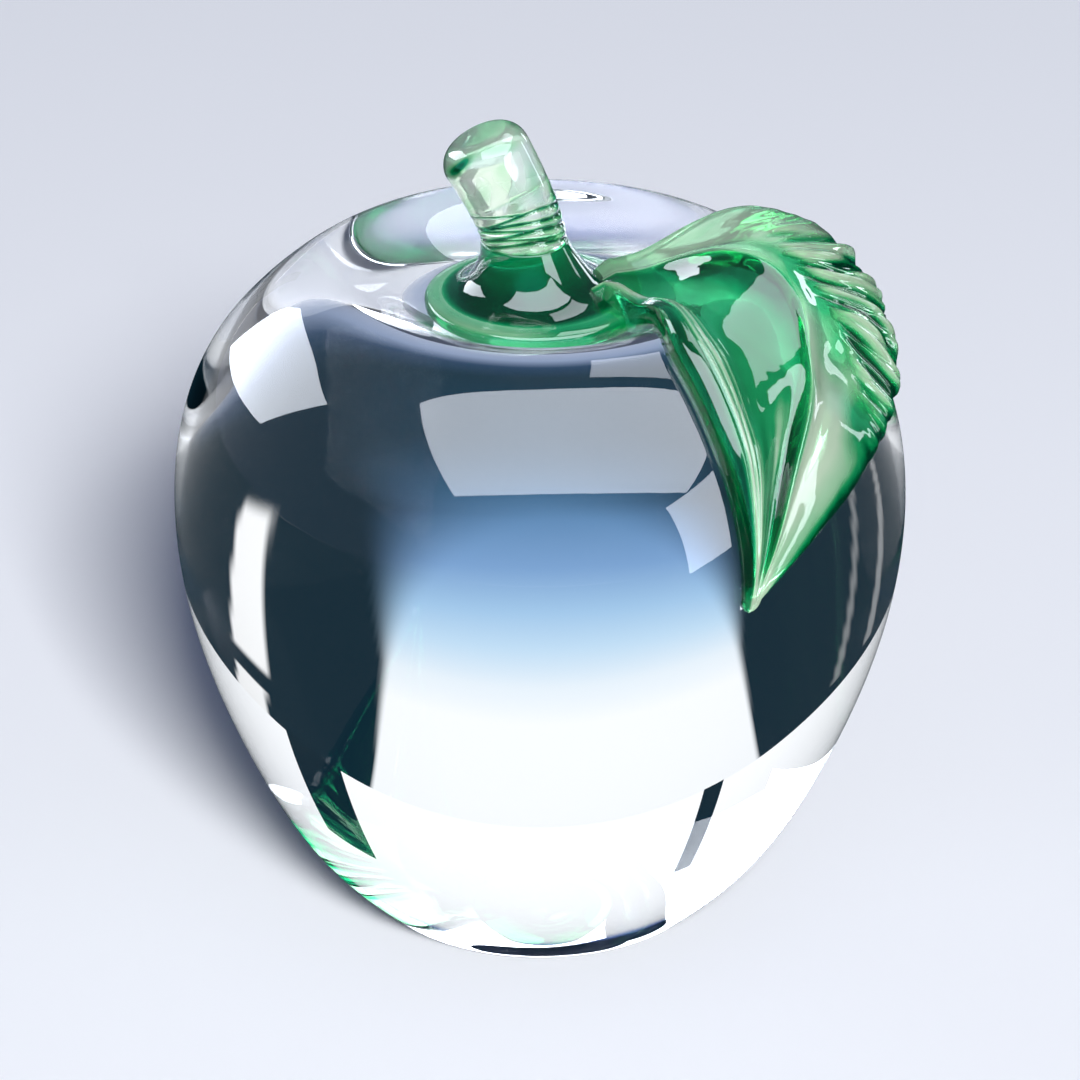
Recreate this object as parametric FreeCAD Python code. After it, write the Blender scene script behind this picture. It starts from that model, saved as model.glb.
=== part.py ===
"""Solid glass apple: a clear crystal body, a green foot and stem in its dished top, and a green leaf.

Millimetres, +Z up.  The origin is the centre of the flat base.  -Y is the front, and the leaf lies over
the front right shoulder.
"""
import FreeCAD, Part
import math
import os

# Crystal body
body_diameter = 88.9
base_diameter = 43.0
belly_height = 52.4
crest_height = 83.3
crest_diameter = 48.8
dish_depth = 6.1
base_arris = 0.5
base_edge_angle = 43.0

# Outline of the body: shares of the way out and of the way up, from one named place to the next.
base_to_belly_shares = ((0.27, 0.120), (0.675, 0.424))
belly_to_crest_shares = ((0.823, 0.557), (0.430, 0.861))
crest_to_dish_shares = ((0.78, 0.31), (0.553, 0.787), (0.287, 0.984))

# Green foot, pressed into the dish
foot_offset = 0.6
foot_flange_diameter = 26.4
foot_neck_diameter = 10.4
foot_neck_offset = 1.9
foot_height = 9.7
foot_root_depth = 2.0
# Shares of the way from neck radius to flange radius, and of the height over the dish floor.
foot_outline_shares = (
    (1.000, 0.17), (0.980, 0.25), (0.900, 0.29), (0.720, 0.32), (0.510, 0.37),
    (0.310, 0.49), (0.140, 0.69), (0.030, 0.90),
)

# Pale green stem, standing on the neck of the foot
stem_height = 14.7
stem_top_diameter = 10.8
stem_waist_diameter = 10.4
stem_lean = 4.4
stem_bend_power = 1.3
stem_end_tilt_angle = 26.0
stem_end_rounding = 3.0
stem_station_shares = (0.0, 0.25, 0.5, 0.75, 1.0)
stem_end_angles = (20, 40, 60, 78)

# Points round each circle that the foot and the stem are drawn through
circle_point_count = 12

# Green leaf
leaf_midrib_height = 4.2
leaf_ridge_height = 3.3
leaf_valley_height = 1.4
leaf_margin_height = 3.9
leaf_stalk_height = 4.6
leaf_tip_height = 2.0
leaf_tip_taper_power = 4
leaf_seat_depth = 1.2
leaf_rib_count = 10
leaf_rib_relief = 0.45
leaf_tooth_reach = 1.1
leaf_end_radius = 0.4

# Guide lines of the leaf from stalk to tip, evenly spaced along it: the angle round the body from the
# front towards the right, and the share of the way along the outline from the dish centre to the base.
leaf_left_guide_shares = (
    (62.0, 0.072), (44.0, 0.150), (33.0, 0.222), (31.6, 0.270), (31.8, 0.318),
    (32.0, 0.364), (32.2, 0.410), (32.0, 0.455), (31.4, 0.492),
)
leaf_midrib_guide_shares = (
    (95.0, 0.080), (88.0, 0.155), (77.0, 0.208), (72.5, 0.245), (63.0, 0.282),
    (54.0, 0.322), (44.5, 0.368), (37.8, 0.424), (32.6, 0.484),
)
leaf_right_guide_shares = (
    (125.0, 0.085), (113.5, 0.190), (113.5, 0.285), (102.0, 0.351), (81.0, 0.384),
    (64.0, 0.405), (50.0, 0.431), (40.0, 0.462), (33.2, 0.489),
)
leaf_tip_angle = 31.6
leaf_tip_share = 0.503
leaf_stalk_share = 0.045
leaf_stalk_angle = 88.0
leaf_plain_root_shares = (0.0, 0.06, 0.12)
leaf_ribbed_from_share = 0.18
leaf_ribbed_to_share = 0.95
leaf_last_share = 0.985

# Section of the leaf: share of the way across, then the shares of ridge, valley, midrib and margin
# heights that make up the height there.
leaf_section_shares = (
    (0.000, 0.30, 0.00, 0.00, 0.00),
    (0.006, 0.62, 0.00, 0.00, 0.00),
    (0.030, 0.90, 0.00, 0.00, 0.00),
    (0.080, 1.00, 0.00, 0.00, 0.00),
    (0.140, 0.84, 0.10, 0.00, 0.00),
    (0.210, 0.40, 0.60, 0.00, 0.00),
    (0.290, 0.05, 0.95, 0.00, 0.00),
    (0.380, 0.00, 0.90, 0.10, 0.00),
    (0.450, 0.00, 0.35, 0.65, 0.00),
    (0.500, 0.00, 0.00, 1.00, 0.00),
    (0.550, 0.00, 0.10, 0.82, 0.05),
    (0.640, 0.00, 0.05, 0.30, 0.62),
    (0.740, 0.00, 0.00, 0.05, 0.92),
    (0.840, 0.00, 0.00, 0.00, 1.00),
    (0.930, 0.00, 0.00, 0.00, 0.98),
    (0.985, 0.00, 0.00, 0.00, 0.72),
    (1.000, 0.00, 0.00, 0.00, 0.30),
)
leaf_seat_shares = (0.97, 0.78, 0.60, 0.42, 0.24, 0.03)
leaf_rib_start_share = 0.52
leaf_rib_full_share = 0.72

body_radius = body_diameter / 2
base_radius = base_diameter / 2
crest_radius = crest_diameter / 2
dish_floor_height = crest_height - dish_depth


def between(start, end, share):
    """Value that lies the given share of the way from start to end."""
    return start + (end - start) * share


def body_outline():
    """Half outline of the body, as a curve from the centre of the dish to the edge of the base."""
    points = [FreeCAD.Vector(0, 0, dish_floor_height)]
    for radius_share, depth_share in reversed(crest_to_dish_shares):
        points.append(FreeCAD.Vector(crest_radius * radius_share, 0, crest_height - dish_depth * depth_share))
    points.append(FreeCAD.Vector(crest_radius, 0, crest_height))
    for radius_share, height_share in reversed(belly_to_crest_shares):
        radius = between(crest_radius, body_radius, radius_share)
        points.append(FreeCAD.Vector(radius, 0, between(belly_height, crest_height, height_share)))
    points.append(FreeCAD.Vector(body_radius, 0, belly_height))
    for radius_share, height_share in reversed(base_to_belly_shares):
        points.append(FreeCAD.Vector(between(base_radius, body_radius, radius_share), 0,
                                     belly_height * height_share))
    points.append(FreeCAD.Vector(base_radius, 0, 0))
    outline = Part.BSplineCurve()
    base_turn = math.radians(base_edge_angle)
    outline.interpolate(Points=points, InitialTangent=FreeCAD.Vector(1, 0, 0),
                        FinalTangent=FreeCAD.Vector(-math.cos(base_turn), 0, -math.sin(base_turn)))
    return outline


outline = body_outline()


def body_point(angle, share, height):
    """Place over the body, by angle round it, share along the outline and height off the surface."""
    parameter = between(outline.FirstParameter, outline.LastParameter, share)
    place = outline.value(parameter)
    along = outline.tangent(parameter)[0]
    turn = math.radians(angle)
    radius = place.x - along.z * height
    return FreeCAD.Vector(radius * math.sin(turn), -radius * math.cos(turn), place.z + along.x * height)


def spacing_parameters(rows):
    """Curve parameters for places met one after another, by the mean distance from each to the next."""
    parameters = [0]
    for row, following in zip(rows, rows[1:]):
        mean_distance = sum((after - point).Length for point, after in zip(row, following)) / len(row)
        parameters.append(parameters[-1] + math.sqrt(mean_distance))
    return [parameter / parameters[-1] for parameter in parameters]


def interpolated(points, parameters, closed):
    """Smooth curve through points."""
    curve = Part.BSplineCurve()
    curve.interpolate(Points=points, PeriodicFlag=closed, Parameters=parameters)
    return curve


def solid_through(sections):
    """Solid whose skin passes through closed sections of matching points; the first and last are flat."""
    columns = list(zip(*sections))
    around = spacing_parameters(columns + columns[:1])
    along = spacing_parameters(sections)
    rings = [interpolated(section, around, True) for section in sections]
    lines = [interpolated(list(poles), along, False) for poles in zip(*[ring.getPoles() for ring in rings])]
    surface = Part.BSplineSurface()
    surface.buildFromPolesMultsKnots(
        [list(poles) for poles in zip(*[line.getPoles() for line in lines])],
        lines[0].getMultiplicities(), rings[0].getMultiplicities(),
        lines[0].getKnots(), rings[0].getKnots(),
        False, True, lines[0].Degree, rings[0].Degree)
    caps = [Part.Face(Part.Wire(ring.toShape())) for ring in (rings[0], rings[-1])]
    shell = Part.makeShell([surface.toShape()] + caps)
    shell.sewShape()
    solid = Part.makeSolid(shell)
    if solid.Volume < 0:
        solid.reverse()
    return solid


def circle_points(centre, radius, axis):
    """Points round a circle whose axis lies in the plane of the stem's lean."""
    across = FreeCAD.Vector(axis.z, 0, -axis.x)
    points = []
    for index in range(circle_point_count):
        turn = 2 * math.pi * index / circle_point_count
        points.append(centre + across * (radius * math.cos(turn)) + FreeCAD.Vector(0, radius * math.sin(turn), 0))
    return points


def make_crystal_body():
    """Solid of revolution, flat underneath, with a fine arris at the edge of the base."""
    centre_line = Part.makeLine(FreeCAD.Vector(0, 0, 0), FreeCAD.Vector(0, 0, dish_floor_height))
    base_line = Part.makeLine(FreeCAD.Vector(base_radius, 0, 0), FreeCAD.Vector(0, 0, 0))
    half = Part.Face(Part.Wire([centre_line, outline.toShape(), base_line]))
    body = half.revolve(FreeCAD.Vector(0, 0, 0), FreeCAD.Vector(0, 0, 1), 360)
    base_edges = [edge for edge in body.Edges if edge.BoundBox.ZMax < base_arris and edge.Length > base_radius]
    return body.makeFillet(base_arris, base_edges).Solids[0]


def foot_section(height_share, radius_share):
    """Level circle of the foot, at a share of its height over the dish floor."""
    centre_x = -between(foot_offset, foot_neck_offset, height_share * abs(height_share))
    radius = between(foot_neck_diameter, foot_flange_diameter, radius_share) / 2
    centre = FreeCAD.Vector(centre_x, 0, dish_floor_height + foot_height * height_share)
    return circle_points(centre, radius, FreeCAD.Vector(0, 0, 1))


def make_stem_foot(body):
    """Flange and cone, seated on the surface of the dish."""
    sections = [foot_section(-foot_root_depth / foot_height, 1)]
    for radius_share, height_share in foot_outline_shares:
        sections.append(foot_section(height_share, radius_share))
    sections.append(foot_section(1, 0))
    return solid_through(sections).cut(body).Solids[0]


def stem_section(share):
    """Circle of the stem at a share of its height, tilting towards the end."""
    flat_radius = stem_top_diameter / 2 - stem_end_rounding
    rise = stem_height - stem_end_rounding - flat_radius * math.sin(math.radians(stem_end_tilt_angle))
    waist = between(foot_neck_diameter, stem_waist_diameter, math.sin(math.pi * share))
    diameter = between(waist, stem_top_diameter, share ** 2)
    tilt = math.radians(stem_end_tilt_angle * share)
    centre = FreeCAD.Vector(-foot_neck_offset - stem_lean * share ** stem_bend_power, 0,
                            dish_floor_height + foot_height + rise * share)
    return centre, diameter / 2, FreeCAD.Vector(-math.sin(tilt), 0, math.cos(tilt))


def make_stem():
    """Leaning round stub with a slanted, rounded end."""
    sections = []
    for share in stem_station_shares:
        centre, radius, axis = stem_section(share)
        sections.append(circle_points(centre, radius, axis))
    for angle in stem_end_angles:
        turn = math.radians(angle)
        end_centre = centre + axis * (stem_end_rounding * math.sin(turn))
        end_radius = radius - stem_end_rounding * (1 - math.cos(turn))
        sections.append(circle_points(end_centre, end_radius, axis))
    return solid_through(sections)


def guide_curve(guide_shares):
    """Smooth guide line through its places, each an angle and a share along the outline."""
    steps = len(guide_shares) - 1
    points = [FreeCAD.Vector(angle, share, 0) for angle, share in guide_shares]
    return interpolated(points, [index / steps for index in range(steps + 1)], False)


left_guide = guide_curve(leaf_left_guide_shares)
midrib_guide = guide_curve(leaf_midrib_guide_shares)
right_guide = guide_curve(leaf_right_guide_shares)


def leaf_stations():
    """Places along the leaf with the rib height there: 1 on a rib, -1 in a groove, 0 where it is plain."""
    stations = [(share, 0) for share in leaf_plain_root_shares]
    steps = 2 * leaf_rib_count
    for index in range(steps + 1):
        share = between(leaf_ribbed_from_share, leaf_ribbed_to_share, index / steps)
        stations.append((share, 1 - 2 * (index % 2)))
    stations.append((leaf_last_share, 0))
    return stations


def leaf_place(station, across):
    """Angle and outline share at a place across the leaf: 0 left margin, 0.5 midrib, 1 right margin."""
    middle = midrib_guide.value(station)
    if across < 0.5:
        start = left_guide.value(station)
        return start + (middle - start) * (2 * across)
    return middle + (right_guide.value(station) - middle) * (2 * across - 1)


def leaf_heights(station):
    """Heights of ridge, valley, midrib and margin, tapering to the tip and gathered at the stalk."""
    taper = 1 - station ** leaf_tip_taper_power
    gather = max(0, 1 - station / leaf_ribbed_from_share) ** 2
    heights = []
    for height in (leaf_ridge_height, leaf_valley_height, leaf_midrib_height, leaf_margin_height):
        spread_height = between(leaf_tip_height, height, taper)
        heights.append(between(spread_height, leaf_stalk_height, gather))
    return heights


def leaf_section_points(station, rib_phase):
    """Points round the leaf at one station, the lower ones sunk below the surface that it lies on."""
    heights = leaf_heights(station)
    midrib, margin = leaf_place(station, 0.5), leaf_place(station, 1)
    half_width = (body_point(margin.x, margin.y, 0) - body_point(midrib.x, midrib.y, 0)).Length
    tooth_share = rib_phase * leaf_tooth_reach / 2 / half_width
    points = []
    for across, *height_shares in leaf_section_shares:
        height = sum(share * value for share, value in zip(height_shares, heights))
        rib_share = (across - leaf_rib_start_share) / (leaf_rib_full_share - leaf_rib_start_share)
        rib_share = min(1, max(0, rib_share))
        height += rib_phase * leaf_rib_relief * rib_share * min(1, height / leaf_margin_height)
        place = leaf_place(station, across + tooth_share * rib_share / 2)
        points.append(body_point(place.x, place.y, height))
    seat_points = []
    for across in leaf_seat_shares:
        place = leaf_place(station, across)
        seat_points.append(body_point(place.x, place.y, -leaf_seat_depth))
    middle = len(seat_points) // 2
    return seat_points[middle:] + points + seat_points[:middle]


def end_ring(centre, leftward, upward, section_points):
    """Small flat ring that closes an end of the leaf, its points spaced as in the section beside it."""
    steps = [(point - before).Length for before, point in zip(section_points, section_points[1:])]
    length = sum(steps) + (section_points[0] - section_points[-1]).Length
    points = []
    for index in range(len(section_points)):
        turn = 2 * math.pi * sum(steps[:index]) / length
        points.append(centre + (leftward * math.sin(turn) - upward * math.cos(turn)) * leaf_end_radius)
    return points


def make_leaf(body, foot):
    """Leaf with its stalk, drawn from inside the foot to the tip and seated on body and foot."""
    rows = [leaf_section_points(station, rib_phase) for station, rib_phase in leaf_stations()]
    stalk_end = body_point(leaf_stalk_angle, leaf_stalk_share, leaf_stalk_height / 2)
    rows.insert(0, end_ring(stalk_end, FreeCAD.Vector(0, -1, 0), FreeCAD.Vector(0, 0, 1), rows[0]))
    tip_end = body_point(leaf_tip_angle, leaf_tip_share, leaf_tip_height / 2)
    tip_outward = body_point(leaf_tip_angle, leaf_tip_share, leaf_tip_height) - tip_end
    tip_outward.normalize()
    tip_turn = math.radians(leaf_tip_angle)
    tip_leftward = FreeCAD.Vector(-math.cos(tip_turn), -math.sin(tip_turn), 0)
    rows.append(end_ring(tip_end, tip_leftward, tip_outward, rows[-1]))
    return solid_through(rows).cut(body).cut(foot).Solids[0]


crystal_body = make_crystal_body()
stem_foot = make_stem_foot(crystal_body)
stem = make_stem()
leaf = make_leaf(crystal_body, stem_foot)

os.makedirs("parts", exist_ok=True)
crystal_body.exportStep("parts/crystal_body.step")
stem_foot.exportStep("parts/stem_foot.step")
stem.exportStep("parts/stem.step")
leaf.exportStep("parts/leaf.step")
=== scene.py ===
"""Looks of the solid glass apple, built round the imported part.

Metres, in the part's own frame: +Z up, the origin in the middle of the flat base, -Y the front.
"""

import math

import bmesh
import bpy
import numpy as np
from bpy.props import FloatProperty, IntProperty, PointerProperty, StringProperty
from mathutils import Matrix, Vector
from mathutils.bvhtree import BVHTree


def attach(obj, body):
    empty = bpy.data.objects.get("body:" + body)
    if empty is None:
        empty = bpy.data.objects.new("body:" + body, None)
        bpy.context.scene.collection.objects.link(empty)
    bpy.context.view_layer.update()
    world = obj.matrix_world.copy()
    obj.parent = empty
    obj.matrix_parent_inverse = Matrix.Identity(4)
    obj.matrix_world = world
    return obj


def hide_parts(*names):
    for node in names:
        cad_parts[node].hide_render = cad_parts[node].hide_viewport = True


bl_info = {
    "name": "Solid Glass Apple",
    "version": (1, 0, 0),
    "blender": (4, 5, 0),
    "location": "3D View > Sidebar > Glass Apple",
    "description": "Makes the crystal body, green foot, stem and leaf of a solid glass apple, and its stage",
    "category": "Add Mesh",
}

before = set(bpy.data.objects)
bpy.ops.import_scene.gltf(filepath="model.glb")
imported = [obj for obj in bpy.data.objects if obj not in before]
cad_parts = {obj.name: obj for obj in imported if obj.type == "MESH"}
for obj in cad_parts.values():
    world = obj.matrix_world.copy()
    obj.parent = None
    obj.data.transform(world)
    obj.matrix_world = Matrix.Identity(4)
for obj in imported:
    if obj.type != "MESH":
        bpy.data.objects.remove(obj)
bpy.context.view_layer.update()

MM = 0.001
WHOLE_TURN = 2 * math.pi

# Sizes of the glass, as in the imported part
BODY_RADIUS = 44.45 * MM
BASE_RADIUS = 21.5 * MM
BELLY_HEIGHT = 52.4 * MM
CREST_HEIGHT = 83.3 * MM
CREST_RADIUS = 24.4 * MM
DISH_DEPTH = 6.1 * MM
DISH_FLOOR = CREST_HEIGHT - DISH_DEPTH
BASE_ARRIS = 0.5 * MM
BASE_EDGE_ANGLE = 43.0
BASE_TO_BELLY = ((0.27, 0.120), (0.675, 0.424))
BELLY_TO_CREST = ((0.823, 0.557), (0.430, 0.861))
CREST_TO_DISH = ((0.78, 0.31), (0.553, 0.787), (0.287, 0.984))

FOOT_OFFSET = 0.6 * MM
FOOT_FLANGE_RADIUS = 13.2 * MM
FOOT_NECK_RADIUS = 5.2 * MM
FOOT_NECK_OFFSET = 1.9 * MM
FOOT_HEIGHT = 9.7 * MM
# Share of the way out from the neck to the rim, and share of the height
FOOT_OUTLINE = (
    (1.000, 0.17), (0.980, 0.25), (0.900, 0.29), (0.720, 0.32), (0.510, 0.37),
    (0.310, 0.49), (0.140, 0.69), (0.030, 0.90), (0.000, 1.00),
)

# Share of the way out from the neck to the rim, and how deep the green is there; the darker tone at the rim is
# painted shade under the flange's edge
FOOT_TONES = (
    (0, 0.7), (0.1, 0.86), (0.3, 1), (0.62, 0.98), (0.7, 0.62), (0.74, 0.3), (0.8, 0.42),
    (0.93, 0.3), (1, 0.66),
)

STEM_HEIGHT = 14.7 * MM
STEM_TOP_RADIUS = 5.4 * MM
STEM_WAIST_RADIUS = 5.2 * MM
STEM_LEAN = 4.4 * MM
STEM_BEND_POWER = 1.3
STEM_END_TILT = 26.0
STEM_END_ROUNDING = 3.0 * MM
STEM_WRINKLE_DEPTH = 0.22 * MM
# Share of the height, half width and turn of each wrinkle pressed into the stem while it was drawn
STEM_WRINKLES = (
    (0.055, 0.040, 1.6), (0.120, 0.026, 2.2), (0.175, 0.044, 1.2), (0.240, 0.024, 2.6), (0.295, 0.034, 2.0),
    (0.365, 0.024, 1.0), (0.44, 0.016, 2.9),
)

LEAF_MIDRIB_HEIGHT = 4.2 * MM
LEAF_RIDGE_HEIGHT = 3.3 * MM
LEAF_VALLEY_HEIGHT = 1.4 * MM
LEAF_MARGIN_HEIGHT = 3.9 * MM
LEAF_STALK_HEIGHT = 4.6 * MM
LEAF_TIP_HEIGHT = 2.0 * MM
LEAF_TIP_TAPER_POWER = 4
LEAF_END_STEPS = 8
LEAF_TOOTH_REACH = 0.5 * MM
LEAF_LEFT_GUIDE = (
    (62.0, 0.072), (44.0, 0.150), (33.0, 0.222), (31.6, 0.270), (31.8, 0.318),
    (32.0, 0.363), (32.2, 0.408), (32.2, 0.450), (31.9, 0.484),
)
LEAF_MIDRIB_GUIDE = (
    (95.0, 0.080), (88.0, 0.155), (77.0, 0.208), (72.5, 0.245), (63.0, 0.282),
    (54.0, 0.322), (44.5, 0.368), (38.0, 0.421), (33.1, 0.477),
)
LEAF_RIGHT_GUIDE = (
    (125.0, 0.085), (113.5, 0.190), (113.5, 0.285), (102.0, 0.351), (81.0, 0.384),
    (64.0, 0.405), (50.0, 0.431), (40.0, 0.458), (33.8, 0.481),
)
LEAF_TIP = (32.4, 0.493)
LEAF_STALK_END = (88.0, 0.045)
LEAF_RIBBED_FROM = 0.18
# Share of the way across, then shares of the ridge, valley, midrib and margin heights
LEAF_MARGIN_SECTION = (
    (0.84, 0, 0, 0, 1), (0.93, 0, 0, 0, 0.98), (0.985, 0, 0, 0, 0.72), (1, 0, 0, 0, 0.3),
)
LEAF_SECTION = (
    (0, 0.3, 0, 0, 0), (0.006, 0.62, 0, 0, 0), (0.03, 0.9, 0, 0, 0), (0.08, 1, 0, 0, 0),
    (0.14, 0.84, 0.1, 0, 0), (0.21, 0.4, 0.6, 0, 0), (0.29, 0.05, 0.95, 0, 0), (0.38, 0, 0.9, 0.1, 0),
    (0.45, 0, 0.35, 0.65, 0), (0.5, 0, 0, 1, 0), (0.55, 0, 0.1, 0.82, 0.05), (0.64, 0, 0.05, 0.3, 0.62),
    (0.74, 0, 0, 0.05, 0.92),
) + LEAF_MARGIN_SECTION

# The same where the leaf arches over the rim: a broad face rises from the ridge to the midrib
LEAF_UPPER_SECTION = (
    (0, 0.3, 0, 0, 0), (0.006, 0.62, 0, 0, 0), (0.025, 0.92, 0, 0, 0), (0.065, 1, 0, 0, 0),
    (0.1, 0.76, 0.22, 0, 0), (0.135, 0.28, 0.72, 0, 0), (0.175, 0.02, 0.98, 0, 0), (0.24, 0, 0.88, 0.1, 0),
    (0.34, 0, 0.6, 0.38, 0), (0.43, 0, 0.25, 0.72, 0), (0.5, 0, 0, 1, 0), (0.55, 0, 0.08, 0.86, 0.05),
    (0.64, 0, 0.03, 0.42, 0.52), (0.74, 0, 0, 0.12, 0.86),
) + LEAF_MARGIN_SECTION
LEAF_SECTION_CHANGE = (0.50, 0.68)
# Soft swellings of the leaf: shares along and across, half lengths along and across, height
LEAF_SWELLINGS = (
    (0.29, 0.9, 0.17, 0.6, 1.5 * MM), (0.045, 0.09, 0.1, 0.16, 1.5 * MM),
    (0.43, 0.74, 0.07, 0.3, 0.7 * MM), (0.56, 0.7, 0.1, 0.26, -0.9 * MM),
    (0.7, 0.72, 0.12, 0.24, 0.6 * MM),
)

# Share of the way across, and how deep the green is there: deepest in the valley; the darkest tone on the left
# flank is painted shade, the pale bands on the ridge and midrib crests are painted highlights, and the pale right
# half is partly painted light from the softboxes
LEAF_TONES = (
    (0.000, 0.95), (0.030, 0.93), (0.052, 0.66), (0.080, 0.20), (0.115, 0.40), (0.160, 0.56), (0.250, 0.58),
    (0.350, 0.64), (0.440, 0.76), (0.475, 0.60), (0.500, 0.12), (0.540, 0.20), (0.640, 0.24), (0.760, 0.28),
    (0.880, 0.26), (0.950, 0.38), (1.000, 0.80),
)
# Soft ovals that change the depth: shares along and across, half lengths along and across, change. The paler ones
# paint pale patches of light, such as the softbox's cream reflection on the right half and the highlight on the
# knob
LEAF_TONE_SPOTS = (
    (0.26, 0.43, 0.28, 0.15, 0.4), (0.76, 0.4, 0.2, 0.13, 0.4), (0.86, 0.14, 0.26, 0.16, -0.4),
    (0.66, 0.3, 0.16, 0.12, -0.34), (0.72, 0.62, 0.3, 0.3, -0.3), (0.78, 1.02, 0.4, 0.2, 1.3),
    (0.2, 0.75, 0.26, 0.44, -0.34), (0.5, 0.64, 0.12, 0.16, 0.3), (0.62, 0.8, 0.1, 0.16, 0.45),
    (0.38, 0.56, 0.12, 0.1, 0.5), (0.27, 0.58, 0.12, 0.07, 0.4), (0.72, 0.505, 0.2, 0.03, 0.55),
    (0.05, 0.05, 0.14, 0.09, -0.55), (0.09, 0.012, 0.05, 0.016, 0.95), (1, 0.35, 0.09, 0.9, -0.75),
)
# Shares along the leaf where each rib leaves the midrib, and how high the ribs stand there
LEAF_RIB_STATIONS = (
    0.06, 0.16, 0.245, 0.310, 0.362, 0.420, 0.470, 0.512, 0.565, 0.640, 0.740, 0.850, 0.950)
LEAF_RIB_STRENGTH = (
    (0.0, 0.0), (0.20, 0.1), (0.29, 0.9), (0.35, 1.1), (0.50, 1.0), (0.58, 0.5), (0.66, 0.15), (0.96, 0.0))
# Shares along the leaf, and the share across where the ribs start there
LEAF_RIB_ROOT = (
    (0.0, 0.66), (0.20, 0.62), (0.30, 0.54), (0.40, 0.56), (0.50, 0.66), (0.60, 0.80), (1.0, 0.90))
LEAF_RIB_SWEEP = 0.09
LEAF_RIB_RISE = 0.10
# Waves that bend the ribs and grooves: height, and turns of angle across and along the leaf
LEAF_RIB_WANDER = ((0.22, 8.0, 19.0), (0.12, 17.0, -41.0))
LEAF_GROOVE_WANDER = ((0.22, 0.0, 7.0), (0.10, 0.0, 19.0))
LEAF_RIB_SHARPNESS = 1.3
LEAF_RIB_UNEVENNESS = 0.45
LEAF_FINE_RIB_SHARE = 0.38
LEAF_RIDGE_GROOVES = (0.045, 0.150)
LEAF_GROOVE_FADE = 0.12
# How much the painted highlight lightens the rib crests, how much the painted shade deepens the hollows between
# them, how strongly the grooves are painted with highlight on their raised lines and shade in their dips, and how
# strong the streaks by the tip are
LEAF_RIB_PAINTED_HIGHLIGHT = 0.30
LEAF_HOLLOW_PAINTED_SHADE = 0.75
LEAF_GROOVE_PAINTED_LIGHT = 0.22
LEAF_STREAK_DEPTH = 0.24
# Share of the light that each green glass lets through
LEAF_CLEARNESS = 0.63
STEM_CLEARNESS = 0.72
FOOT_CLEARNESS = 0.6

# Floor: radius, how far below the base it lies, and distances between which it fades to an even glow
FLOOR_RADIUS = 3.0
FLOOR_LEVEL = -0.15 * MM
FLOOR_FADE = (0.30, 0.9)
# Light behind the glass: millimetres behind its axis and the colour there
BACKLIGHT_TONES = (
    (36, "#a7b2ca"), (48, "#8b9bb8"), (56, "#2c4560"), (64, "#14313f"), (73, "#16384a"), (80, "#3f6788"),
    (87, "#6089b3"), (100, "#7aa0cc"), (112, "#a2c6e6"), (122, "#c1dcf1"), (135, "#e8f1f8"), (155, "#fafcfe"),
)
BACKLIGHT_REACH = (36 * MM, 2.9)
BACKLIGHT_LEVEL = -0.05 * MM
BACKLIGHT_STEPS = 300
# Share of its columns that the beam takes, and how wide for its distance the rest spreads
BACKLIGHT_BEAM_SHARE = 0.4
BACKLIGHT_SPREAD = 4
SURROUND_TONE = "#0f2733"
# Height of the sky's direction and the colour there, and how far behind it fades out
SKY_TONES = ((0.0, "#fafbfd"), (0.60, "#f4f6fa"), (0.70, "#5f7fc4"), (0.80, "#1b2340"), (1.0, "#0d1020"))
SKY_EDGE = (-0.30, 0.10)
SKY_SHARE_IN_FRONT = 0.14
# Half width of the dark card round the glass that only its outer mirror shows, which keeps the sides deep
MIRRORED_CARD_REACH = 2.5
MIRRORED_CARD_LEVEL = -0.03 * MM
BEAM_START = 76 * MM
BEAM_SPREAD_LEFT = 0.60
BEAM_SPREAD_RIGHT = 0.42
BEAM_LEAST_HALF_WIDTH = 4 * MM
# Distances behind the axis, and how soft the beam's edge is there
BEAM_FEATHER = ((90 * MM, 135 * MM), (12 * MM, 3 * MM))
# Bright strips beside the beam: side, slope, offset, spread, nearest, farthest, brightness
BEAM_STRIPS = (
    (1, 1.0, 54 * MM, 0.085, 92 * MM, 300 * MM, 1.0),
    (1, 0.97, 60 * MM, 0.070, 420 * MM, 6.0, 1.0),
    (-1, 0.65, 35 * MM, 0.030, 80 * MM, 900 * MM, 0.30),
    (-1, 0.95, 40 * MM, 0.018, 80 * MM, 900 * MM, 0.22),
)
# Light gathered under the base: colours at the middle and towards the back, and how far back that is
GATHERED_TONES = ("#8790bd", "#cdd2e8")
GATHERED_REACH = 18 * MM
GATHERED_LEVEL = -0.1 * MM
GATHERED_STEPS = 40
# Softboxes that the glass shows: share of the brightness, then two corners of the left end and two of the right
SOFTBOXES = {
    "back_softbox": (0.62, ((0.16, 0.10, 1.0), (0.10, 0.62, 1.0), (0.78, 0.06, 1.0), (0.62, 0.56, 1.0))),
    "top_softbox": (
        1.0, ((-0.625, -1.03, 1.0), (-0.534, -0.136, 1.0), (1.22, -0.944, 1.0), (0.868, 0.013, 1.0))),
    "left_softbox": (
        1.0, ((-0.915, 0.33, 0.36), (-0.831, 0.15, 0.742), (-0.629, 0.93, 0.078), (-0.545, 0.75, 0.46))),
    "right_softbox": (
        1.0, ((0.761, -0.774, -0.008), (0.607, -0.668, 0.524), (0.963, -0.377, 0.143), (0.809, -0.271, 0.675))),
}

# Upright lit strips that only the outer mirror shows: azimuth and half width in degrees, height, brightness
MIRRORED_STRIPS = (("rib_strip", 143, 4.0, 0.75, 0.75), ("side_strip", 118, 2.5, 0.9, 0.6))
# Upright dark cards: azimuth and half width in degrees
SIDE_CARDS = (("right_card", 148, 5), ("left_card", -157, 1.5))
SIDE_CARD_HEIGHT = 0.55
UPRIGHT_DISTANCE = 2.5

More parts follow.
